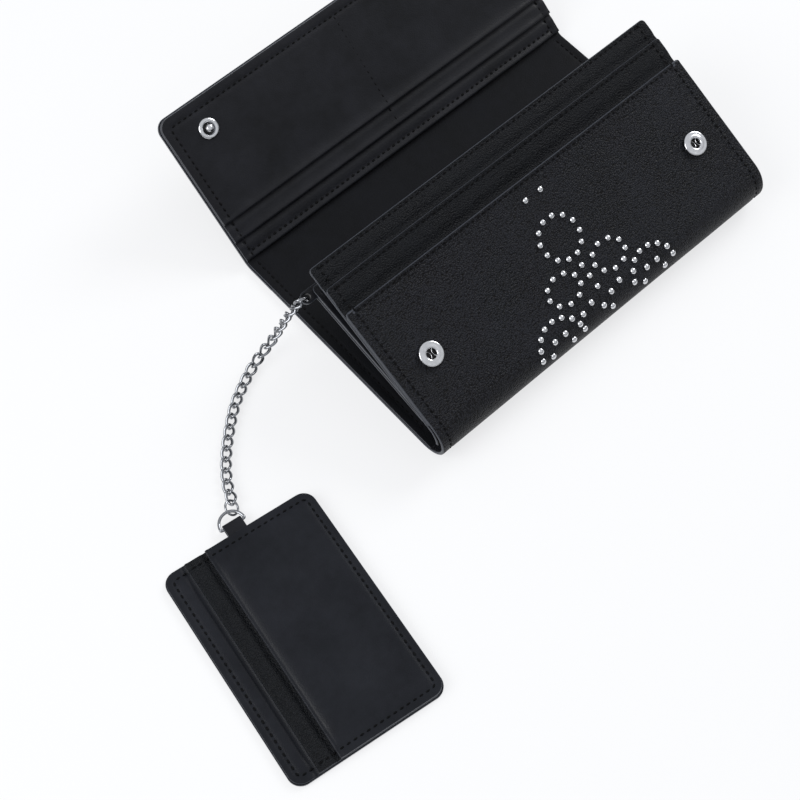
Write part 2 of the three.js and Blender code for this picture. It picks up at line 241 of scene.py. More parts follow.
def roundRoute(points, radius=0):
    # the points joined by straight runs, with an arc at each inner corner
    points = [np.array(point, float) for point in points]
    route = [points[0]]
    for before, corner, after in zip(points, points[1:], points[2:]):
        toBefore = (before - corner) / np.linalg.norm(before - corner)
        toAfter = (after - corner) / np.linalg.norm(after - corner)
        centre = corner + radius * (toBefore + toAfter)
        for turn in np.linspace(0, math.pi / 2, 9):
            route.append(centre - radius * (toAfter * math.cos(turn) + toBefore * math.sin(turn)))
    route.append(points[-1])
    return np.array(route)


def distanceTo(route, spots):
    nearest = np.full(len(spots), 1e9)
    for first, last in zip(route, route[1:]):
        run = last - first
        if not run.any():
            continue
        along = np.clip(((spots - first) @ run) / (run @ run), 0, 1)
        nearest = np.minimum(nearest, np.linalg.norm(spots - first - along[:, None] * run, axis=1))
    return nearest


mouthEdge = {"sewn": 4, "easing": 9, "reach": 3.2, "bead": 0.32, "beadAt": 0.8, "beadWidth": 0.7}


def openMouth(spots, cut, share=0):
    # a pocket's mouth: its turned edge is a little thicker, and lifts where it isn't sewn down
    left, right, bottom, top = cut["edges"]
    for edge, lift in cut.get("rolled", {}).items():
        axis, place, inward = {"left": (0, left, 1), "bottom": (1, bottom, 1), "top": (1, top, -1)}[edge]
        low, high = (left, right) if axis == 1 else (bottom, top)
        across = spots[:, 1 - axis]
        fromSeam = np.minimum(across - low, high - across) - mouthEdge["sewn"]
        free = np.clip(fromSeam / mouthEdge["easing"], 0, 1)
        depth = np.maximum((spots[:, axis] - place) * inward, 0)
        spots[:, 2] += lift * free * np.exp(-(depth / mouthEdge["reach"]) ** 2)
        bead = np.exp(-((depth - mouthEdge["beadAt"]) / mouthEdge["beadWidth"]) ** 2)
        spots[:, 2] += mouthEdge["bead"] * share * bead
    return spots


seamPress = {"depth": 0.36, "width": 0.9}
waves = {"across": 34, "along": 21, "start": 3.1}


def cutLeather(name, cut):
    # a piece of leather, flat, with rounded corners, finished edges and pressed seam lines
    left, right, bottom, top = cut["edges"]
    floor, ceiling = cut["heights"]
    nearRadius, farRadius = cut.get("corners", (0, 0))
    cell = cut.get("cell", 1.0)
    butted = cut.get("butted", ())      # ends that meet the next piece of the same skin, cut square
    ends = [bottom, top]
    bottom, top = bottom - 2 * ("bottom" in butted), top + 2 * ("top" in butted)
    deselectAll()
    bpy.ops.mesh.primitive_grid_add(
        x_subdivisions=max(2, round((right - left) / cell)),
        y_subdivisions=max(2, round((top - bottom) / cell)), size=1)
    bpy.ops.transform.resize(value=(right - left, top - bottom, 1))
    bpy.ops.transform.translate(value=((left + right) / 2, (bottom + top) / 2, 0))
    piece = settle(name)

    def roundCorners(spots):
        for radius, edge, side in ((nearRadius, bottom, -1), (farRadius, top, 1)):
            if not radius:
                continue
            for endX, endSide in ((left, -1), (right, 1)):
                u = np.clip((endSide * (spots[:, 0] - endX) + radius) / radius, 0, 1)
                v = np.clip((side * (spots[:, 1] - edge) + radius) / radius, 0, 1)
                inside = (u > 0) & (v > 0)
                newX = endX - endSide * radius * (1 - u * np.sqrt(1 - v * v / 2))
                newY = edge - side * radius * (1 - v * np.sqrt(1 - u * u / 2))
                spots[inside, 0] = newX[inside]
                spots[inside, 1] = newY[inside]
        return spots
    reshape(piece, roundCorners)
    modify(piece, "SOLIDIFY", thickness=ceiling - floor, offset=1)
    low = min(vertex.co.z for vertex in piece.data.vertices)
    modify(piece, "BEVEL", width=cut.get("edge", 0.35), segments=3, limit_method="ANGLE",
           angle_limit=math.radians(50))
    for end, place, facing in (("bottom", ends[0], 1), ("top", ends[1], -1)):
        if end in butted:
            trim(piece, (0, place, 0), (0, facing, 0))
    ripple = cut.get("ripple", 0.12)
    pressedOnTop = cut.get("pressed", "top") == "top"

    def press(spots):
        share = (spots[:, 2] - low) / (ceiling - floor)
        spots[:, 2] += floor - low
        for seam in cut.get("seams", ()):
            away = distanceTo(seam, spots[:, :2]) / seamPress["width"]
            spots[:, 2] -= seamPress["depth"] * np.exp(-away ** 2) * (share if pressedOnTop else share - 1)
        for axis, place, depth, width in cut.get("grooves", ()):
            spots[:, 2] -= depth * share * np.exp(-((spots[:, axis] - place) / width) ** 2)
        spots = openMouth(spots, cut, share)
        wave = [noise.noise(Vector((x / waves["across"], y / waves["along"], floor + waves["start"])))
                for x, y in spots[:, :2]]
        spots[:, 2] += ripple * np.array(wave)
        return spots
    reshape(piece, press)
    paint(piece, leathers[cut["leather"]], edgePaint)
    for polygon in piece.data.polygons:
        polygon.material_index = int(abs(polygon.normal.z) < cut.get("painted", 0.88))
    smooth(piece, 50)
    return piece


stitching = {"pitch": 3.0, "bead": (0.9, 0.38), "thickness": 0.3, "sink": 0.16, "slant": 0.06}


def sew(name, seams, height, facing=1, bead=stitching["bead"]):
    # thread: one flattened bead for each stitch, its ends sunk in the leather
    deselectAll()
    bpy.ops.mesh.primitive_uv_sphere_add(segments=8, ring_count=6, radius=1)
    stitch = bpy.context.object
    stitch.data.transform(Matrix.Diagonal((*bead, stitching["thickness"], 1)))
    places = []
    for seam in seams:
        runs = np.linalg.norm(np.diff(seam, axis=0), axis=1)
        travelled = np.concatenate([[0], np.cumsum(runs)])
        count = max(1, int(travelled[-1] / stitching["pitch"]))
        for number in range(count):
            middle = (number + 0.5) * travelled[-1] / count
            x, y = (np.interp(middle, travelled, seam[:, axis]) for axis in (0, 1))
            ahead = [np.interp(middle + 0.6, travelled, seam[:, axis]) for axis in (0, 1)]
            behind = [np.interp(middle - 0.6, travelled, seam[:, axis]) for axis in (0, 1)]
            heading = math.atan2(ahead[1] - behind[1], ahead[0] - behind[0]) + stitching["slant"]
            sunk = height - stitching["sink"] * facing
            places.append(Matrix.Translation((x, y, sunk)) @ Matrix.Rotation(heading, 4, "Z"))
    piece = repeat(name, stitch, places)
    paint(piece, thread)
    return piece


def linear(code):
    parts = [int(code[at:at + 2], 16) / 255 for at in (1, 3, 5)]
    return [part / 12.92 if part <= 0.04045 else ((part + 0.055) / 1.055) ** 2.4 for part in parts] + [1]


def addNode(tree, kind, settings=None, links=None):
    node = tree.nodes.new(kind)
    for key, value in (settings or {}).items():
        if key == "stops":
            for stop, (place, colour) in zip(node.color_ramp.elements, value):
                stop.position, stop.color = place, colour
        elif isinstance(key, int) or key in node.inputs:
            node.inputs[key].default_value = value
        else:
            setattr(node, key, value)
    for socket, source in (links or {}).items():
        tree.links.new(source, node.inputs[socket])
    return node


def newMaterial(name, settings):
    material = bpy.data.materials.new(name)
    material.use_nodes = True
    shader = material.node_tree.nodes["Principled BSDF"]
    for key, value in settings.items():
        shader.inputs[key].default_value = value
    return material, material.node_tree, shader


def makeLeather(name, look):
    # polyurethane leather, embossed with a pebble and finished satin: small round grains, a soft broad gloss
    roughness, mottle = look["roughness"], look["mottle"]
    poreSize, cloudSize, patchSize = 0.45 * mm, 24 * mm, 4 * mm
    material, tree, shader = newMaterial(name, {"Roughness": roughness, "IOR": 1.5,
                                                "Specular IOR Level": look["gloss"]})
    spots = addNode(tree, "ShaderNodeTexCoord").outputs["Object"]
    grains = addNode(tree, "ShaderNodeTexVoronoi",
                     {"feature": "SMOOTH_F1", "Scale": 1 / (look["grain"] * mm), "Smoothness": 0.3,
                      "Randomness": 0.95}, {"Vector": spots})
    pores = addNode(tree, "ShaderNodeTexNoise", {"Scale": 1 / poreSize, "Detail": 3}, {"Vector": spots})
    clouds = addNode(tree, "ShaderNodeTexNoise", {"Scale": 1 / cloudSize, "Detail": 4}, {"Vector": spots})
    patches = addNode(tree, "ShaderNodeTexNoise", {"Scale": 1 / patchSize, "Detail": 3}, {"Vector": spots})
    height = addNode(tree, "ShaderNodeMath", {"operation": "MULTIPLY_ADD", 1: 0.4},
                     {0: pores.outputs["Fac"], 2: grains.outputs["Distance"]})
    bump = addNode(tree, "ShaderNodeBump", {"Strength": look["relief"], "Distance": 0.5 * mm, "invert": True},
                   {"Height": height.outputs[0]})
    tree.links.new(bump.outputs["Normal"], shader.inputs["Normal"])
    evened = addNode(tree, "ShaderNodeMath", {"operation": "MULTIPLY_ADD", 1: mottle, 2: 0.75 * (1 - mottle)},
                     {0: clouds.outputs["Fac"]})
    shades = addNode(tree, "ShaderNodeMath", {"operation": "MULTIPLY_ADD", 1: 0.5 * mottle},
                     {0: patches.outputs["Fac"], 2: evened.outputs[0]})
    # painted shade: the colour darkens in the creases between pebbles, added to the random mottle
    mottleAndCreaseShade = addNode(tree, "ShaderNodeMath", {"operation": "MULTIPLY_ADD", 1: -look["creaseShade"]},
                         {0: height.outputs[0], 2: shades.outputs[0]})
    middle = 0.75 - 0.7 * look["creaseShade"]      # where the pattern's average falls
    colour = addNode(tree, "ShaderNodeValToRGB",
                     {"stops": [(middle - look["spread"], linear(look["dark"])),
                                (middle + look["spread"], linear(look["light"]))]},
                     {"Fac": mottleAndCreaseShade.outputs[0]})
    tree.links.new(colour.outputs["Color"], shader.inputs["Base Color"])
    rough = addNode(tree, "ShaderNodeMapRange",
                    {"From Min": 0.3, "From Max": 0.7, "To Min": roughness - 0.06, "To Max": roughness + 0.08},
                    {"Value": clouds.outputs["Fac"]})
    tree.links.new(rough.outputs["Result"], shader.inputs["Roughness"])
    return material


def makePlain(name, code, roughness, metallic=0.0, gloss=0.5, wear=1.5):
    # an even colour, with a fine unevenness in its gloss that is some mm wide
    material, tree, shader = newMaterial(name, {"Metallic": metallic, "Specular IOR Level": gloss})
    spots = addNode(tree, "ShaderNodeTexCoord").outputs["Object"]
    cloud = addNode(tree, "ShaderNodeTexNoise", {"Scale": 1 / (wear * mm), "Detail": 4}, {"Vector": spots})
    shade = [min(1, part * 1.18) for part in linear(code)]
    colour = addNode(tree, "ShaderNodeValToRGB", {"stops": [(0.3, linear(code)), (0.75, shade)]},
                     {"Fac": cloud.outputs["Fac"]})
    tree.links.new(colour.outputs["Color"], shader.inputs["Base Color"])
    rough = addNode(tree, "ShaderNodeMapRange", {"To Min": roughness * 0.8, "To Max": roughness * 1.25},
                    {"Value": cloud.outputs["Fac"]})
    tree.links.new(rough.outputs["Result"], shader.inputs["Roughness"])
    bump = addNode(tree, "ShaderNodeBump", {"Strength": 0.08, "Distance": 0.05 * mm},
                   {"Height": cloud.outputs["Fac"]})
    tree.links.new(bump.outputs["Normal"], shader.inputs["Normal"])
    return material


def makeTape(name):
    # woven polyester tape: matt, with ribs 0.5 mm apart across its length
    ribPitch = 0.5 * mm
    material, tree, shader = newMaterial(name, {"Roughness": 0.85, "Specular IOR Level": 0.2})
    spots = addNode(tree, "ShaderNodeTexCoord").outputs["Object"]
    ribs = addNode(tree, "ShaderNodeTexWave",
                   {"bands_direction": "X", "Scale": 0.314 / ribPitch, "Distortion": 0.6, "Detail": 2},
                   {"Vector": spots})
    colour = addNode(tree, "ShaderNodeValToRGB", {"stops": [(0.0, linear("#0d0d0f")), (1.0, linear("#1d1e20"))]},
                     {"Fac": ribs.outputs["Fac"]})
    tree.links.new(colour.outputs["Color"], shader.inputs["Base Color"])
    bump = addNode(tree, "ShaderNodeBump", {"Strength": 0.5, "Distance": 0.08 * mm},
                   {"Height": ribs.outputs["Fac"]})
    tree.links.new(bump.outputs["Normal"], shader.inputs["Normal"])
    return material


# grain is in mm, and mottle is how far the shade drifts over a panel; painted shade darkens the creases between
# grains
leatherLooks = {
    # outside of the cover: a raised pebble that breaks the light up
    "pebbled": {"grain": 0.7, "relief": 1.0, "creaseShade": 0.6, "mottle": 0.3, "spread": 0.2,
                "roughness": 0.43, "gloss": 0.14, "dark": "#020203", "light": "#1c1e24"},
    # flap layers, coin pocket and tabs: nearly flat, with a soft sheen
    "smooth": {"grain": 0.6, "relief": 0.14, "creaseShade": 0.1, "mottle": 1.0, "spread": 0.3,
               "roughness": 0.43, "gloss": 0.15, "dark": "#0e0f12", "light": "#1a1b20"},
    # card holder: the same skin, a shade bluer
    "holder": {"grain": 0.6, "relief": 0.11, "creaseShade": 0.1, "mottle": 1.0, "spread": 0.3,
               "roughness": 0.42, "gloss": 0.15, "dark": "#0d0f14", "light": "#181a20"},
    # pocket layers and the card holder's strip: a finer, duller pebble
    "grained": {"grain": 0.62, "relief": 0.75, "creaseShade": 0.35, "mottle": 0.3, "spread": 0.2,
                "roughness": 0.5, "gloss": 0.11, "dark": "#060709", "light": "#16181c"},
    # lining: thin and matt, with hardly any grain
    "lining": {"grain": 0.55, "relief": 0.22, "creaseShade": 0.15, "mottle": 0.8, "spread": 0.3,
               "roughness": 0.6, "gloss": 0.09, "dark": "#08090b", "light": "#121317"},
}
leathers = {name: makeLeather(name + "Leather", look) for name, look in leatherLooks.items()}
# acrylic edge paint, brushed on: a thin grey line round each cut edge
edgePaint = makePlain("edgePaint", "#33363d", 0.4, gloss=0.35, wear=3)
# painted shade: brass inside the snap's hollow, out of the light, is coloured nearly black
paintedWellShade = makePlain("paintedShadeInWell", "#0b0b0c", 0.5, gloss=0.3)
# bonded polyester thread: matt black beads
thread = makePlain("polyesterThread", "#040405", 0.65, gloss=0.1, wear=0.3)
# polished nickel on brass: bright, with sharp reflections
nickel = makePlain("polishedNickel", "#c6c7ca", 0.15, metallic=1)
# nickel plate on drawn steel wire: a darker mirror
steel = makePlain("nickelPlatedSteel", "#8b8d91", 0.13, metallic=1)
tapeCloth = makeTape("wovenTape")
print("materials made")


def keep(piece, slot, body, *nodes):
    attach(piece, body)
    if nodes:
        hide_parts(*nodes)


def bend(piece, slot, span, *nodes):
    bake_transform(piece)
    if nodes:
        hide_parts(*nodes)


midBack = 40.4           # where the cover's two halves meet under the back
midSpine = 98            # where its spine meets the flap
topInset = 1.7           # from a pocket's top edge to its stitches
frontTop = foldLength + wallet["blockHeight"] - wallet["frontStep"]
frontMouth = (4.6, frontTop, 42)      # how far it stands open, its edge, and how far down that reaches
flapTop = creaseLength + wallet["flapHeight"]


def makeCover():
    half = halfLength
    below, above = wallet["coverHeights"]
    pebbledSide = {"leather": "pebbled", "heights": (below, above), "edge": 0.7}
    sides = [roundRoute([(side * seamX, -midBack - 2), (side * seamX, frontTop + 1)]) for side in (-1, 1)]
    topSeam = roundRoute([(-seamX, frontTop - topInset), (seamX, frontTop - topInset)])
    cut = {**pebbledSide, "edges": (-half, half, -midBack, frontTop), "seams": sides + [topSeam],
           "corners": (0, 1.5), "rolled": {"top": 0.5}, "butted": ("bottom",)}
    front = cutLeather("coverFront", cut)
    layAlong(front, "front", frontMouth)
    bend(front, "pebbled", "fold", "front_cover", "back_cover")
    stitches = sew("coverFrontStitches", sides + [topSeam], above)
    reshape(stitches, lambda spots: openMouth(spots, cut))
    layAlong(stitches, "front", frontMouth)
    bend(stitches, "pebbled", "fold")

    sides = [roundRoute([(side * seamX, midBack), (side * seamX, midSpine)]) for side in (-1, 1)]
    spine = cutLeather("coverSpine", {**pebbledSide, "edges": (-half, half, midBack, midSpine), "seams": sides,
                                      "pressed": "bottom", "butted": ("bottom", "top")})
    layAlong(spine, "cover")
    bend(spine, "pebbled", "spine", "spine_cover")
    stitches = sew("coverSpineStitches", sides, below, facing=-1)
    layAlong(stitches, "cover")
    bend(stitches, "pebbled", "spine")

    rim = roundRoute([(-seamX, midSpine), (-seamX, flapTop - seamInset), (seamX, flapTop - seamInset),
                      (seamX, midSpine)], 2)
    flap = cutLeather("coverFlap", {**pebbledSide, "edges": (-half, half, midSpine, flapTop), "seams": [rim],
                                    "corners": (0, wallet["cornerRadius"]), "pressed": "bottom",
                                    "butted": ("bottom",)})
    layAlong(flap, "cover")
    bend(flap, "pebbled", "crease", "flap_cover")
    stitches = sew("coverFlapStitches", [rim], below, facing=-1)
    layAlong(stitches, "cover")
    bend(stitches, "pebbled", "crease")


def makeLinings():
    half, corner = halfLength - 0.5, wallet["cornerRadius"] - 0.4
    meet = creaseLength - creaseBend
    thin = {"leather": "lining", "heights": wallet["liningHeights"], "ripple": 0.05}
    sides = [roundRoute([(side * seamX, 4), (side * seamX, meet)]) for side in (-1, 1)]
    back = cutLeather("liningBack", {**thin, "edges": (-half, half, -6, meet), "seams": sides,
                                     "butted": ("top",)})
    layAlong(back, "cover")
    bend(back, "lining", "spine", "back_lining", "spine_lining")
    stitches = sew("liningBackStitches", sides, wallet["liningHeights"][1])
    layAlong(stitches, "cover")
    bend(stitches, "lining", "spine")
    flap = cutLeather("liningFlap", {**thin, "edges": (-half, half, meet, flapTop - 0.4), "corners": (0, corner),
                                     "grooves": [(1, creaseLength + 1.2, 0.5, 1.2)], "butted": ("bottom",)})
    layAlong(flap, "cover")
    bend(flap, "lining", "crease", "flap_lining")


# start is from the crease, groove is the mark that the next layer's edge leaves, line is a bold row of thread
flapLayers = {
    "flapSlipPocket": {"node": "flap_slip_pocket", "start": 2.2, "heights": (1.7, 2.6), "groove": 10.7,
                       "line": 3.0},
    "flapStrip": {"node": "flap_strip", "start": 11.8, "heights": (2.6, 3.5), "groove": 19.8},
    "flapPanel": {"node": "flap_panel", "start": 20.9, "heights": (3.5, 4.5)},
}


def makeFlapLayers():
    half = halfLength - 0.4
    top = wallet["flapHeight"] - 0.4
    for name, layer in flapLayers.items():
        start, (floor, ceiling) = layer["start"], layer["heights"]
        sides = [roundRoute([(side * seamX, start), (side * seamX, top)]) for side in (-1, 1)]
        rim = [roundRoute([(-seamX, start + 1.2), (-seamX, top - seamInset), (seamX, top - seamInset),
                           (seamX, start + 1.2)], 2)]
        seams = rim if name == "flapPanel" else sides
        sewn = list(seams)
        if "line" in layer:
            row = roundRoute([(-seamX, start + layer["line"]), (seamX, start + layer["line"])])
            seams = seams + [row]
            boldRow = sew(name + "Row", [row], ceiling, bead=(0.85, 0.52))
        if name != "flapSlipPocket":
            last = top - seamInset if name == "flapPanel" else 21.5
            sewn = sewn + [roundRoute([(0, start + 1), (0, last)])]
        cut = {"leather": "smooth", "edges": (-half, half, start, top), "heights": (floor, ceiling),
               "seams": seams, "corners": (0, wallet["cornerRadius"] - 0.4), "edge": 0.4, "cell": 0.9,
               "ripple": 0.3, "rolled": {"bottom": 0.75}, "painted": 0.3,
               "grooves": [(1, layer["groove"], 0.6, 1.1)] if "groove" in layer else ()}
        panel = cutLeather(name, cut)
        stitches = sew(name + "Stitches", sewn, ceiling)
        if "line" in layer:
            stitches = join(name + "Stitches", [stitches, boldRow])
        reshape(stitches, lambda spots: openMouth(spots, cut))
        for piece in (panel, stitches):
            layAlong(piece, "flap")
        keep(panel, "smooth", "flap", layer["node"])
        keep(stitches, "smooth", "flap")


def makeBlockPockets():
    half = halfLength
    midTop = wallet["blockHeight"] - wallet["midStep"]
    rearTop = rearFoldLength + wallet["blockHeight"]
    midSeams = [roundRoute([(side * seamX, 1), (side * seamX, midTop)]) for side in (-1, 1)]
    midSeams.append(roundRoute([(-seamX, midTop - topInset), (seamX, midTop - topInset)]))
    cut = {"leather": "grained", "edges": (-half + 0.3, half - 0.3, 1, midTop), "heights": (9, 10.2),
           "painted": 0.75, "seams": midSeams, "corners": (0, 1.5), "rolled": {"top": 0.5},
           "grooves": [(1, wallet["blockHeight"] - wallet["frontStep"] + 1.4, 0.9, 2.6)]}
    mid = cutLeather("midPocket", cut)
    midStitches = sew("midPocketStitches", midSeams, cut["heights"][1])
    reshape(midStitches, lambda spots: openMouth(spots, cut))
    for piece in (mid, midStitches):
        layAlong(piece, "block", (0.8, midTop, 34))
    keep(mid, "grained", "front_block", "mid_pocket")
    keep(midStitches, "grained", "front_block")
    rearSeams = [roundRoute([(side * seamX, 2), (side * seamX, rearTop)]) for side in (-1, 1)]
    rearSeams.append(roundRoute([(-seamX, rearTop - topInset), (seamX, rearTop - topInset)]))
    below, above = -0.75, 0.75
    rear = cutLeather("rearPocket", {"leather": "grained", "edges": (-half, half, 0, rearTop),
                                     "heights": (below, above), "seams": rearSeams, "corners": (0, 2),
                                     "edge": 0.6, "grooves": [(1, rearFoldLength + midTop + 1.3, 0.7, 1.6)]})
    rearStitches = sew("rearPocketStitches", rearSeams, above)
    backStitches = sew("rearPocketBackStitches", rearSeams, below, facing=-1)
    for piece in (rear, rearStitches, backStitches):
        layAlong(piece, "rearPocket")
    keep(rear, "grained", "front_block", "rear_pocket")
    keep(rearStitches, "grained", "front_block")
    keep(backStitches, "grained", "front_block")


coin = {"half": 93.5, "inner": 0.9, "wall": 1.0, "gap": 0.3, "gusset": 2.6}


def makeCoinPocket():
    half, top = coin["half"], wallet["pocketHeight"]
    inner, outer = coin["inner"], coin["inner"] + coin["wall"]
    seams = [roundRoute([(-half + 3, 0), (-half + 3, top - 1.6), (half - 3, top - 1.6), (half - 3, 0)], 1.5)]
    for name, node, heights, pressed, facing in (
            ("coinPocketFront", "coin_pocket_front", (inner, outer), "top", 1),
            ("coinPocketRear", "coin_pocket_rear", (-outer, -inner), "bottom", -1)):
        panel = cutLeather(name, {"leather": "smooth", "edges": (-half, half, 0, top), "heights": heights,
                                  "corners": (0, 2), "seams": seams, "pressed": pressed, "ripple": 0.1})
        stitches = sew(name + "Stitches", seams, facing * outer, facing=facing)
        for piece in (panel, stitches):
            layAlong(piece, "pocket")
        keep(panel, "smooth", "coin_pocket", node)
        keep(stitches, "smooth", "coin_pocket")
    gap, wide = coin["gap"], coin["gusset"]
    gussets = [cutLeather("coinGusset", {"leather": "lining", "edges": edges, "heights": (-inner, inner),
                                         "ripple": 0})
               for edges in ((-half + gap, -half + wide, gap, top - 3), (half - wide, half - gap, gap, top - 3),
                             (-half + wide, half - wide, gap, 2.3))]
    gusset = join("coinGusset", gussets)
    layAlong(gusset, "pocket")
    keep(gusset, "lining", "coin_pocket")


zipper = {"reach": 80, "tapeDown": 8, "tapeUp": 0.4, "apart": 0.4, "halfTape": 0.2,
          "tooth": (0.8, 1.3, 1.3), "pitch": 1.5, "lift": 0.55, "shift": 0.35}


def makeZip():
    top, reach, pitch = wallet["pocketHeight"], zipper["reach"], zipper["pitch"]
    for name, node, side in (("zipTapeFront", "zip_tape_front", 1), ("zipTapeRear", "zip_tape_rear", -1)):
        middle, half = side * zipper["apart"], zipper["halfTape"]
        tape = cutLeather(name, {"leather": "lining", "heights": (middle - half, middle + half), "ripple": 0,
                                 "edges": (-reach, reach, top - zipper["tapeDown"], top + zipper["tapeUp"]),
                                 "edge": 0.1})
        paint(tape, tapeCloth)
        layAlong(tape, "pocket")
        keep(tape, "tape", "coin_pocket", node)
    deselectAll()
    bpy.ops.mesh.primitive_cube_add(size=1)
    tooth = bpy.context.object
    tooth.data.transform(Matrix.Diagonal((*zipper["tooth"], 1)))
    modify(tooth, "BEVEL", width=0.2, segments=1)
    places = [Matrix.Translation((-reach + (number + 0.5) * pitch, top + zipper["lift"],
                                  zipper["shift"] * (-1) ** number)) for number in range(int(2 * reach / pitch))]
    teeth = repeat("zipTeeth", tooth, places)
    paint(teeth, steel)
    layAlong(teeth, "pocket")
    keep(teeth, "nickel", "coin_pocket")


slider = {"x": 72, "y": 1.1, "width": 4.2, "length": 8, "body": 1.6, "bridge": 1.75, "bridgeWire": 0.42,
          "bridgeLift": 0.4}
pull = {"from": 8.6, "lift": 2.35, "size": (16.4, 0.8, 3.6), "windowFrom": 2.6, "window": (3.0, 3, 2.2)}


def makeSlider():
    base = wallet["pocketHeight"] + slider["y"]
    deselectAll()
    bpy.ops.mesh.primitive_cube_add(size=1, location=(slider["x"], base + slider["body"] / 2, 0),
                                    scale=(slider["length"], slider["body"], slider["width"]))
    body = settle("sliderBody")
    modify(body, "BEVEL", width=0.45, segments=3)
    bpy.ops.mesh.primitive_torus_add(major_radius=slider["bridge"], minor_radius=slider["bridgeWire"],
                                     major_segments=32, minor_segments=10,
                                     location=(slider["x"], base + slider["body"] + slider["bridgeLift"], 0))
    piece = join("zipSlider", [body, settle("sliderBridge")])
    # the pull is a rounded tongue with a window for the bridge
    deselectAll()
    bpy.ops.mesh.primitive_cube_add(size=1, location=(slider["x"] + pull["from"], base + pull["lift"], 0),
                                    scale=pull["size"])
    tongue = settle("zipPull")
    bpy.ops.mesh.primitive_cube_add(size=1, location=(slider["x"] + pull["windowFrom"], base + pull["lift"], 0),
                                    scale=pull["window"])
    window = settle("pullWindow")
    modify(tongue, "BOOLEAN", operation="DIFFERENCE", object=window, solver="EXACT")
    bpy.data.objects.remove(window)
    modify(tongue, "BEVEL", width=0.28, segments=3, limit_method="ANGLE", angle_limit=math.radians(40))
    for part, body, node in ((piece, "slider", "zip_slider"), (tongue, "pull", "zip_pull")):
        paint(part, nickel)
        smooth(part)
        layAlong(part, "pocket")
        keep(part, "nickel", body, node)


def turnPiece(name, profile, steps=48):
    # profile points are (radius, height), from the axis out and back to the axis
    mesh = bpy.data.meshes.new(name)
    mesh.from_pydata([(radius, 0, height) for radius, height in profile],
                     [(number, number + 1) for number in range(len(profile) - 1)], [])
    piece = bpy.data.objects.new(name, mesh)
    bpy.context.collection.objects.link(piece)
    select(piece)
    bpy.ops.object.mode_set(mode="EDIT")
    bpy.ops.mesh.select_all(action="SELECT")
    bpy.ops.mesh.spin(steps=steps, angle=2 * math.pi, center=(0, 0, 0), axis=(0, 0, 1))
    bpy.ops.mesh.select_all(action="SELECT")
    bpy.ops.mesh.remove_doubles(threshold=0.001)
    bpy.ops.mesh.normals_make_consistent(inside=False)
    bpy.ops.object.mode_set(mode="OBJECT")
    smooth(piece, 50)
    return piece


snap = {"x": 76.5, "fromCrease": 58.7, "fromTop": 56.3, "spring": 3.2, "springWire": 0.24, "springX": 4.1,
        "springZ": 1.15}
blockSnapY = wallet["blockHeight"] - snap["fromTop"]
# the radius and depth of the hollow that the light doesn't reach; faces there get the nearly black painted shade
snapParts = {
    "snapSocket": {
        "node": "snap_socket_", "body": "front_block", "line": "block", "y": blockSnapY,
        "height": foldRadius + coverMid, "paintedWellShade": (2.2, 1.0),
        "profile": [(0, 0.15), (2.15, 0.15), (2.2, 0.9), (2.25, 1.35), (2.5, 1.72), (2.9, 1.84), (3.4, 1.78),
                    (3.9, 1.6), (4.3, 1.58), (4.7, 1.68), (5.05, 1.66), (5.3, 1.45), (5.42, 1.05), (5.3, 0.5),
                    (5.0, 0.0), (4.4, -0.3), (0, -0.3)]},
    "socketRivet": {
        "node": "socket_rivet_", "body": "front_block", "line": "block", "y": blockSnapY,
        "height": foldRadius - coverMid - 0.05,
        "profile": [(0, -0.45), (3.9, -0.45), (4.35, -0.25), (4.4, 0.0), (0, 0.0)]},
    "snapStud": {
        "node": "snap_stud_", "body": "flap", "line": "flap", "y": snap["fromCrease"],
        "height": 4.4, "paintedWellShade": (2.3, 0.9),
        "profile": [(0, 3.0), (0.8, 2.93), (1.35, 2.7), (1.7, 2.3), (1.78, 1.9), (1.6, 1.5), (1.35, 1.2),
                    (1.4, 0.6), (1.9, 0.42), (2.5, 0.5), (2.75, 0.85), (3.1, 1.05), (3.7, 1.1), (4.2, 1.0),
                    (4.55, 0.75), (4.66, 0.4), (4.5, 0.05), (4.0, -0.2), (0, -0.2)]},
    "snapCap": {
        "node": "snap_cap_", "body": "flap", "line": "flap", "y": snap["fromCrease"], "height": -0.85,
        "profile": [(0, -1.5), (2.4, -1.44), (4.3, -1.2), (5.4, -0.85), (5.85, -0.45), (5.8, -0.1), (5.2, 0.15),
                    (0, 0.15)]},
}


def makeSprings():
    # two bowed wires that grip the ball
    springs = []
    for offset in (-snap["springX"], snap["springX"]):
        deselectAll()
        bpy.ops.mesh.primitive_torus_add(major_radius=snap["spring"], minor_radius=snap["springWire"],
                                         major_segments=40, minor_segments=8,
                                         location=(offset, 0, snap["springZ"]))
        spring = settle("snapSpring")
        reshape(spring, lambda spots: spots * (0.55, 0.62, 1))
        springs.append(spring)
    return springs


def makeSnaps():
    for side, label in ((-1, "Left"), (1, "Right")):
        for name, part in snapParts.items():
            piece = turnPiece(name + label, part["profile"])
            if name == "snapSocket":
                piece = join(name + label, [piece] + makeSprings())
                smooth(piece, 50)
            paint(piece, nickel, paintedWellShade)
            radius, depth = part.get("paintedWellShade", (0, 0))
            # faces inside that hollow get the painted shade colour
            for polygon in piece.data.polygons:
                middle = polygon.center
                polygon.material_index = int(middle.xy.length < radius and 0 < middle.z < depth)
            piece.data.transform(Matrix.Translation((side * snap["x"], part["y"], part["height"])))
            layAlong(piece, part["line"])
            keep(piece, "nickel", part["body"], part["node"] + label.lower())


def circleSpots(x, down, across, along, count, first=0.0, sweep=360.0):
    step = sweep / count if sweep == 360 else sweep / (count - 1)
    turns = [math.radians(first + step * number) for number in range(count)]
    return [(x + across * math.cos(turn), down + along * math.sin(turn)) for turn in turns]


stud = {"radius": 1.38, "height": 1.05, "apart": 3.3}


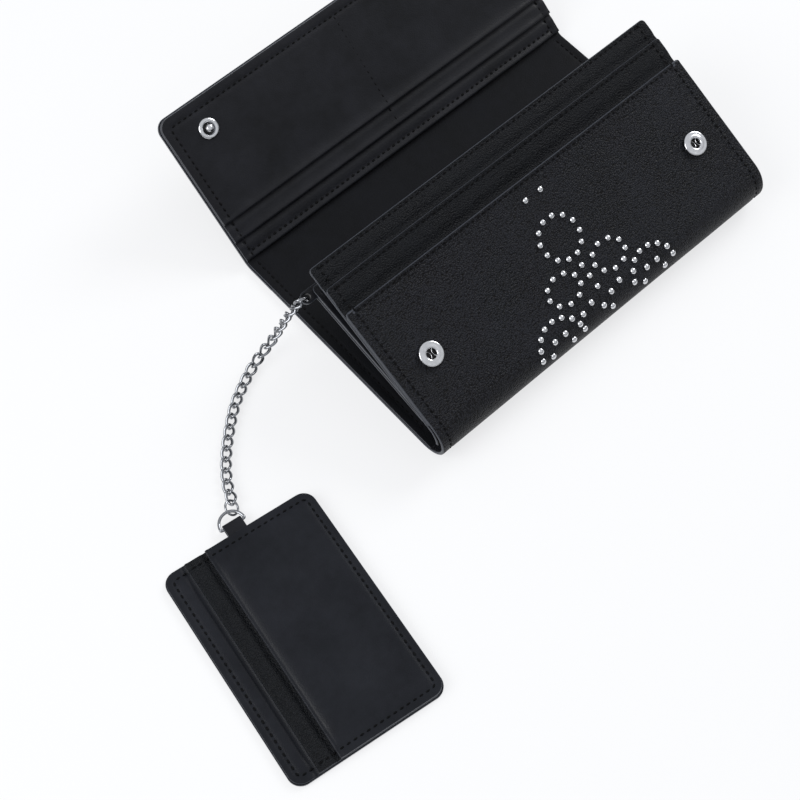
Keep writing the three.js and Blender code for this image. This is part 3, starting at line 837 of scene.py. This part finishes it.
def makeStuds():
    # dome studs: a ring with two above it, over petals, arcs and rows that spread towards the bottom fold
    spots = [(-4.2, 31), (4.2, 31)] + circleSpots(-0.6, 51.9, 9.7, 9.7, 12, 15)
    for side in (-1, 1):
        spots += circleSpots(side * 13, 70, 8.2, 6.4, 9, 20)
        spots += circleSpots(side * 27, 88, 11.5, 11, 8, 180 if side < 0 else 190, 165)
        spots += circleSpots(side * 27, 89.5, 6, 6, 7, 180, 180)
        spots += circleSpots(side * 8.2, 87.5, 6.4, 6.6, 8, 170, 200)
    spots += [(0, 66.5), (0, 72), (0, 77.5), (0, 83)]
    spaced = []
    for spot in spots:
        if all(math.dist(spot, other) > stud["apart"] for other in spaced):
            spaced.append(spot)
    deselectAll()
    bpy.ops.mesh.primitive_uv_sphere_add(segments=18, ring_count=12, radius=1)
    dome = bpy.context.object
    dome.data.transform(Matrix.Diagonal((stud["radius"], stud["radius"], stud["height"], 1)))
    places = [Matrix.Translation((x, foldLength + wallet["blockHeight"] - down, coverMid + 0.1))
              for x, down in spaced]
    studs = repeat("domeStuds", dome, places)
    paint(studs, nickel)
    layAlong(studs, "front", frontMouth)
    bend(studs, "nickel", "fold")


def axesOf(node):
    # middle and three main directions of a frame node, longest first, in mm
    spots = np.array([vertex.co[:] for vertex in frame["nodes"][node].data.vertices]) * 1000
    middle = spots.mean(0)
    directions = np.linalg.svd(spots - middle, full_matrices=False)[2]
    directions[2] = np.cross(directions[0], directions[1])
    return middle, directions


def standAs(piece, node):
    middle, directions = axesOf(node)

    def change(spots):
        return (spots @ directions + middle) * mm
    reshape(piece, change)


link = {"halfLength": 3.27, "halfWidth": 1.9, "wire": 0.64, "twist": 58}


def makeLink(name):
    # a round wire loop, drawn out and then twisted about its length
    deselectAll()
    bpy.ops.mesh.primitive_torus_add(major_radius=link["halfWidth"], minor_radius=link["wire"], major_segments=48,
                                     minor_segments=14)
    piece = takeName(name)
    straight = link["halfLength"] - link["halfWidth"]

    def drawOut(spots):
        x, y, z = spots.T
        x = x + straight * np.clip(x / 0.9, -1, 1)
        turn = np.radians(link["twist"]) * x / link["halfLength"]
        return np.stack([x, y * np.cos(turn) - z * np.sin(turn), y * np.sin(turn) + z * np.cos(turn)], 1)
    reshape(piece, drawOut)
    smooth(piece, 60)
    paint(piece, steel)
    return piece


def makeChain():
    for number in range(1, 22):
        node = "chain_link_%02d" % number
        body = next(name for name, nodes in frame["record"]["behaviour"]["bodies"].items() if node in nodes)
        piece = makeLink("chainLink%02d" % number)
        standAs(piece, node)
        keep(piece, "nickel", body, node)
    for name, node, body, radius, wire in (("jumpRing", "jump_ring", "ring_top", 2.8, 0.6),
                                           ("connectorRing", "connector_ring", "connector", 3.1, 0.5)):
        deselectAll()
        bpy.ops.mesh.primitive_torus_add(major_radius=radius, minor_radius=wire, major_segments=56,
                                         minor_segments=14)
        piece = takeName(name)
        smooth(piece, 60)
        paint(piece, steel)
        standAs(piece, node)
        keep(piece, "nickel", body, node)


chainTab = {"eyeX": -97.1, "eyeDown": 1.7, "eye": 1.75, "halfWidth": 2.8, "left": -99.9, "right": -86}


def makeChainTab():
    eyeX, eyeY, half = chainTab["eyeX"], wallet["pocketHeight"] - chainTab["eyeDown"], chainTab["halfWidth"]
    tab = cutLeather("chainTab", {"leather": "smooth", "heights": (-0.75, 0.75), "cell": 0.7, "ripple": 0,
                                  "edges": (chainTab["left"], chainTab["right"], eyeY - half, eyeY + half),
                                  "edge": 0.3})

    def roundEnd(spots):
        near = spots[:, 0] < eyeX
        offset = spots[near, :2] - (eyeX, eyeY)
        reach = np.maximum(np.abs(offset[:, 0]), np.abs(offset[:, 1]))
        length = np.maximum(np.linalg.norm(offset, axis=1), 1e-6)
        spots[near, :2] = (eyeX, eyeY) + offset * (reach / length)[:, None]
        return spots
    reshape(tab, roundEnd)
    deselectAll()
    bpy.ops.mesh.primitive_cylinder_add(vertices=32, radius=chainTab["eye"], depth=6, location=(eyeX, eyeY, 0))
    punchTool = settle("punchTool")
    modify(tab, "BOOLEAN", operation="DIFFERENCE", object=punchTool, solver="EXACT")
    bpy.data.objects.remove(punchTool)
    layAlong(tab, "pocket")
    keep(tab, "smooth", "coin_pocket", "chain_tab")


# left is how far a layer's open edge stands back from the holder's left edge
cardLayers = {
    "cardBack": {"node": "card_back", "leather": "holder", "slot": "smooth", "left": 0, "inset": 0,
                 "heights": (0.05, 1.25)},
    "cardBasePanel": {"node": "card_base_panel", "leather": "holder", "slot": "smooth", "left": 0, "inset": 0.4,
                      "heights": (1.25, 2.1), "groove": 10.0},
    "cardStrip": {"node": "card_strip", "leather": "grained", "slot": "grained", "left": 11, "inset": 0.5,
                  "heights": (2.1, 3.0), "groove": 19.6},
    "cardFrontPanel": {"node": "card_front_panel", "leather": "holder", "slot": "smooth", "left": 20.6,
                       "inset": 0.5, "heights": (3.0, 4.1)},
}
cardSeam = 3.7           # from the holder's edge to its stitches


def makeCardHolder():
    width, length, corner = holder["halfWidth"], holder["halfLength"], holder["corner"]
    seamLeft, seamRight, seamEnd = -width + cardSeam, width - cardSeam, length - cardSeam
    for name, layer in cardLayers.items():
        inset, (floor, ceiling) = layer["inset"], layer["heights"]
        startX = -width + layer["left"]
        mouth = {"edges": (startX, width, -length, length), "rolled": {"left": 0.85} if layer["left"] else {}}
        if layer["left"]:
            corners = [(startX + 1, seamEnd), (seamRight, seamEnd), (seamRight, -seamEnd), (startX + 1, -seamEnd)]
        else:
            corners = [(0, seamEnd), (seamRight, seamEnd), (seamRight, -seamEnd), (seamLeft, -seamEnd),
                       (seamLeft, seamEnd), (0, seamEnd)]
        rim = roundRoute(corners, corner - cardSeam)
        facing = -1 if name == "cardBack" else 1
        sheet = cutLeather(name, {
            "leather": layer["leather"], "heights": (floor, ceiling), "corners": (corner, corner),
            "ripple": 0.16, "cell": 0.8, "edge": 0.5, "seams": [rim], "pressed": "bottom" if facing < 0 else "top",
            "edges": (-width + inset, width - inset, -length + inset, length - inset),
            "grooves": [(0, layer["groove"] - width, 0.6, 1.0)] if "groove" in layer else ()})
        if layer["left"]:
            trim(sheet, (startX, 0, 0), (1, 0, 0))
            for polygon in sheet.data.polygons:
                if polygon.normal.x < -0.9:
                    polygon.material_index = 1
            modify(sheet, "BEVEL", width=0.3, segments=2, limit_method="ANGLE", angle_limit=math.radians(70))
            reshape(sheet, lambda spots: openMouth(spots, mouth, (spots[:, 2] > (floor + ceiling) / 2)))
        stitches = sew(name + "Stitches", [rim], floor if facing < 0 else ceiling, facing=facing)
        reshape(stitches, lambda spots: openMouth(spots, mouth))
        smooth(sheet, 50)
        for piece in (sheet, stitches):
            layOnTable(piece)
        keep(sheet, layer["slot"], "card_holder", layer["node"])
        keep(stitches, "smooth", "card_holder")


ring = {"x": 1.2, "y": 54.0, "z": 2.4, "halfWidth": 5.5, "depth": 5.8, "wire": 0.65, "bar": 0.35, "shift": 0.2}
ringTab = {"loop": 1.3, "halfWidth": 4.3, "tail": 5.5}


def makeRingAndTab():
    deselectAll()
    bpy.ops.mesh.primitive_torus_add(major_radius=ring["halfWidth"], minor_radius=ring["wire"], major_segments=64,
                                     minor_segments=14)
    piece = takeName("dRing")

    def shapeD(spots):
        x, y, z = spots.T
        turn = np.arctan2(y, x)
        proud = np.hypot(x, y) - ring["halfWidth"]
        alongY = np.where(np.sin(turn) > 0, ring["depth"], ring["bar"]) * np.sin(turn)
        direction = np.stack([np.cos(turn) * np.where(np.sin(turn) > -0.25, 1, 0.25), np.sin(turn)], 1)
        direction /= np.linalg.norm(direction, axis=1)[:, None]
        newX = ring["halfWidth"] * np.cos(turn) + proud * direction[:, 0]
        newY = alongY + proud * direction[:, 1]
        return np.stack([newX + ring["x"], newY + ring["y"] + ring["shift"], z + ring["z"]], 1)
    reshape(piece, shapeD)
    smooth(piece, 60)
    paint(piece, steel)
    layOnTable(piece)
    keep(piece, "nickel", "d_ring", "d_ring")
    # the tab goes over the ring's bar and back under it
    loop, half, tail = ringTab["loop"], ringTab["halfWidth"], ringTab["tail"]
    lines["tab"] = foldingLine(ring["y"], ring["z"] - loop, 0, [(0, loop * math.pi, 180)])
    tab = cutLeather("cardTab", {"leather": "smooth", "edges": (-half, half, -tail, loop * math.pi + tail),
                                 "heights": (-0.42, 0.42), "cell": 0.5, "ripple": 0, "edge": 0.2})
    layAlong(tab, "tab")
    reshape(tab, lambda spots: spots / mm + (ring["x"], 0, 0))
    layOnTable(tab)
    keep(tab, "smooth", "card_holder", "card_tab")


makeCover()
makeLinings()
makeFlapLayers()
makeBlockPockets()
print("leather cut, sewn and folded")
makeCoinPocket()
makeZip()
makeSlider()
print("coin pocket made")
makeSnaps()
makeStuds()
makeChainTab()
makeChain()
makeCardHolder()
makeRingAndTab()
print("metal, chain and card holder made")


stage = {"size": 12, "drop": -0.0004, "floor": "#7c7d7e", "glow": "#f8f8f9", "glowStrength": 0.76,
         "tentLow": "#34363a", "tentHigh": "#f6f8fb", "tentStrength": 0.85, "sweep": "#eff0f1"}
lamps = {"keyLight": {"place": (1.3, 0.1, 1.0), "size": 0.8, "power": 15},
         "fillLight": {"place": (-1.1, 0.2, 0.9), "size": 1.0, "power": 11}}


def makeStage():
    deselectAll()
    bpy.ops.mesh.primitive_plane_add(size=stage["size"], location=(0, 0, stage["drop"]))
    floor = takeName("floor")
    # matt acrylic sheet, lit from below: shadows stay faint on it
    material = newMaterial("lightTable", {
        "Roughness": 0.9, "Base Color": linear(stage["floor"]), "Specular IOR Level": 0.0,
        "Emission Color": linear(stage["glow"]), "Emission Strength": stage["glowStrength"]})[0]
    paint(floor, material)
    # the tent lights the wallet, and only the camera sees the sweep behind it
    world = bpy.data.worlds.new("studio")
    bpy.context.scene.world = world
    world.use_nodes = True
    tree = world.node_tree
    tent = tree.nodes["Background"]
    around = addNode(tree, "ShaderNodeTexCoord").outputs["Generated"]
    heights = addNode(tree, "ShaderNodeSeparateXYZ", links={"Vector": around})
    shade = addNode(tree, "ShaderNodeValToRGB",
                    {"stops": [(0.02, linear(stage["tentLow"])), (0.6, linear(stage["tentHigh"]))]},
                    {"Fac": heights.outputs["Z"]})
    tree.links.new(shade.outputs["Color"], tent.inputs["Color"])
    tent.inputs["Strength"].default_value = stage["tentStrength"]
    sweep = addNode(tree, "ShaderNodeBackground", {"Color": linear(stage["sweep"]), "Strength": 1.0})
    seen = addNode(tree, "ShaderNodeLightPath")
    mix = addNode(tree, "ShaderNodeMixShader", links={0: seen.outputs["Is Camera Ray"], 1: tent.outputs[0],
                                                      2: sweep.outputs[0]})
    tree.links.new(mix.outputs[0], tree.nodes["World Output"].inputs["Surface"])
    for name, lamp in lamps.items():
        light = bpy.data.lights.new(name, "AREA")
        light.shape, light.size, light.energy = "DISK", lamp["size"], lamp["power"]
        item = bpy.data.objects.new(name, light)
        item.location = lamp["place"]
        item.rotation_euler = (Vector((-0.05, 0, 0)) - Vector(lamp["place"])).to_track_quat("-Z", "Y").to_euler()
        bpy.context.collection.objects.link(item)
    bpy.context.scene.view_settings.view_transform = "Standard"


camera = {"place": (-285.10, -236.20, 605.81), "azimuth": 41.53, "elevation": 63.91, "roll": -0.24,
          "lens": 72.3}


def makeCamera():
    azimuth, elevation = math.radians(camera["azimuth"]), math.radians(camera["elevation"])
    forward = Vector((math.sin(azimuth) * math.cos(elevation), math.cos(azimuth) * math.cos(elevation),
                      -math.sin(elevation)))
    right = Vector((math.cos(azimuth), -math.sin(azimuth), 0))
    up = right.cross(forward)
    data = bpy.data.cameras.new("camera")
    data.lens, data.sensor_width = camera["lens"], 36
    data.clip_start = 0.01
    item = bpy.data.objects.new("camera", data)
    turn = Matrix((right, up, -forward)).transposed().to_4x4()
    turn = turn @ Matrix.Rotation(math.radians(camera["roll"]), 4, "Z")
    item.matrix_world = Matrix.Translation(Vector(camera["place"]) * mm) @ turn
    bpy.context.collection.objects.link(item)
    bpy.context.scene.camera = item


makeStage()
makeCamera()
print("stage and camera set")
